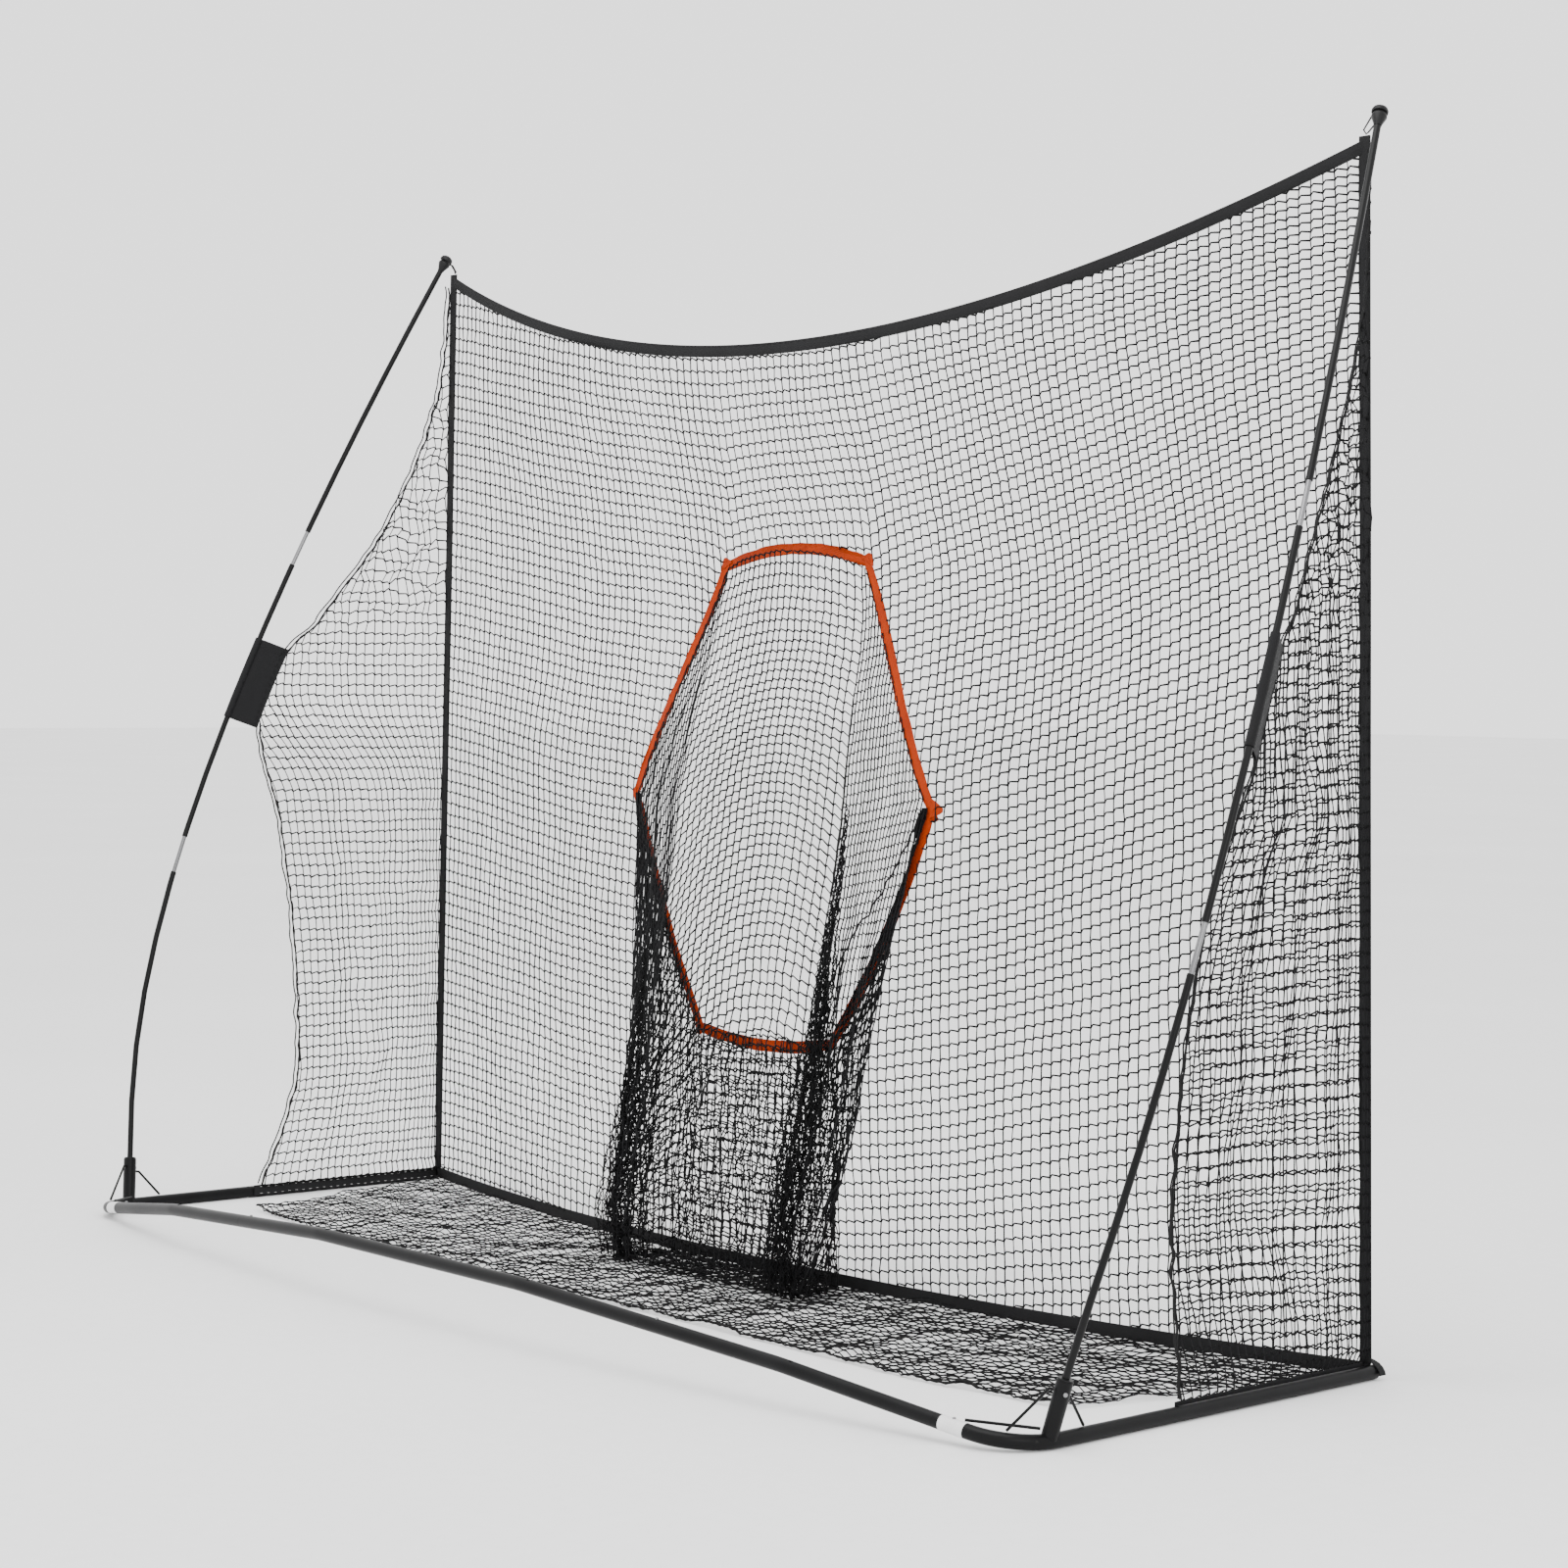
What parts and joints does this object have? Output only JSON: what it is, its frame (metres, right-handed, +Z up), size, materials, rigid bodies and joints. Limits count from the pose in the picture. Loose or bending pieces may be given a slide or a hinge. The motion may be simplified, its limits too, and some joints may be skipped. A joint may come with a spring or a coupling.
{
  "type": "golf practice net",
  "caption": "Freestanding sports net on an arched tube base with two bowed poles, side nets and an orange hexagonal target that opens into a hanging ball pocket.",
  "frame": {"origin": "on the ground, midway between the outermost points in X and Y", "axes": "+Z up, +X along the net's width, +Y towards the side the ball comes from"},
  "size_m": [3.2636, 1.0797, 2.2666],
  "materials": {
    "frame_paint": "satin black",
    "pole_black": "smooth black",
    "bright_steel": "bright",
    "black_plastic": "moulded black",
    "webbing": "woven tape",
    "netting": "knotted twine",
    "orange_tape": "woven tape",
    "sleeve_fabric": "woven nylon",
    "cord_black": "elastic cord"
  },
  "bodies": {
    "frame": {"arm_end_cap_left": "black_plastic", "arm_end_cap_right": "black_plastic", "arm_strap_left": "webbing", "arm_strap_right": "webbing", "bottom_strap": "webbing", "button_spring_1": "bright_steel", "button_spring_2": "bright_steel", "button_spring_3": "bright_steel", "button_spring_4": "bright_steel", "button_spring_5": "bright_steel", "corner_cord_left": "cord_black", "corner_cord_right": "cord_black", "corner_rod_left": "frame_paint", "corner_rod_right": "frame_paint", "corner_tube_left": "frame_paint", "corner_tube_right": "frame_paint", "ferrule_lower_left": "bright_steel", "ferrule_lower_right": "bright_steel", "ferrule_upper_left": "bright_steel", "ferrule_upper_right": "bright_steel", "floor_net": "netting", "main_net": "netting", "pole_cup_left": "black_plastic", "pole_cup_right": "black_plastic", "pole_lower_left": "pole_black", "pole_lower_right": "pole_black", "pole_middle_left": "pole_black", "pole_middle_right": "pole_black", "pole_sleeve_left": "sleeve_fabric", "pole_sleeve_right": "sleeve_fabric", "pole_socket_left": "frame_paint", "pole_socket_right": "frame_paint", "pole_tip_knob_left": "black_plastic", "pole_tip_knob_right": "black_plastic", "pole_upper_left": "pole_black", "pole_upper_right": "pole_black", "rear_tube_1": "frame_paint", "rear_tube_2": "frame_paint", "rear_tube_3": "frame_paint", "rear_tube_4": "frame_paint", "side_net_left": "netting", "side_net_right": "netting", "side_strap_left": "webbing", "side_strap_right": "webbing", "socket_brace_front_left": "frame_paint", "socket_brace_front_right": "frame_paint", "socket_brace_rear_left": "frame_paint", "socket_brace_rear_right": "frame_paint", "target_pocket": "netting", "target_ring": "orange_tape", "top_strap": "webbing"},
    "snap_button_1": {"snap_button_1": "bright_steel"},
    "snap_button_2": {"snap_button_2": "bright_steel"},
    "snap_button_3": {"snap_button_3": "bright_steel"},
    "snap_button_4": {"snap_button_4": "bright_steel"},
    "snap_button_5": {"snap_button_5": "bright_steel"}
  },
  "joints": [
    {"name": "snap_button_1_press", "type": "slide", "parent": "frame", "child": "snap_button_1", "axis": [0.1293, -0.0222, -0.9914], "range_m": [0, 0.0043], "stiffness_N_per_m": 700, "springref_m": -0.001},
    {"name": "snap_button_2_press", "type": "slide", "parent": "frame", "child": "snap_button_2", "axis": [0.0657, -0.0056, -0.9978], "range_m": [0, 0.0043], "stiffness_N_per_m": 700, "springref_m": -0.001},
    {"name": "snap_button_3_press", "type": "slide", "parent": "frame", "child": "snap_button_3", "axis": [0, 0, -1], "range_m": [0, 0.0043], "stiffness_N_per_m": 700, "springref_m": -0.001},
    {"name": "snap_button_4_press", "type": "slide", "parent": "frame", "child": "snap_button_4", "axis": [-0.0657, -0.0056, -0.9978], "range_m": [0, 0.0043], "stiffness_N_per_m": 700, "springref_m": -0.001},
    {"name": "snap_button_5_press", "type": "slide", "parent": "frame", "child": "snap_button_5", "axis": [-0.1293, -0.0222, -0.9914], "range_m": [0, 0.0043], "stiffness_N_per_m": 700, "springref_m": -0.001}
  ]
}
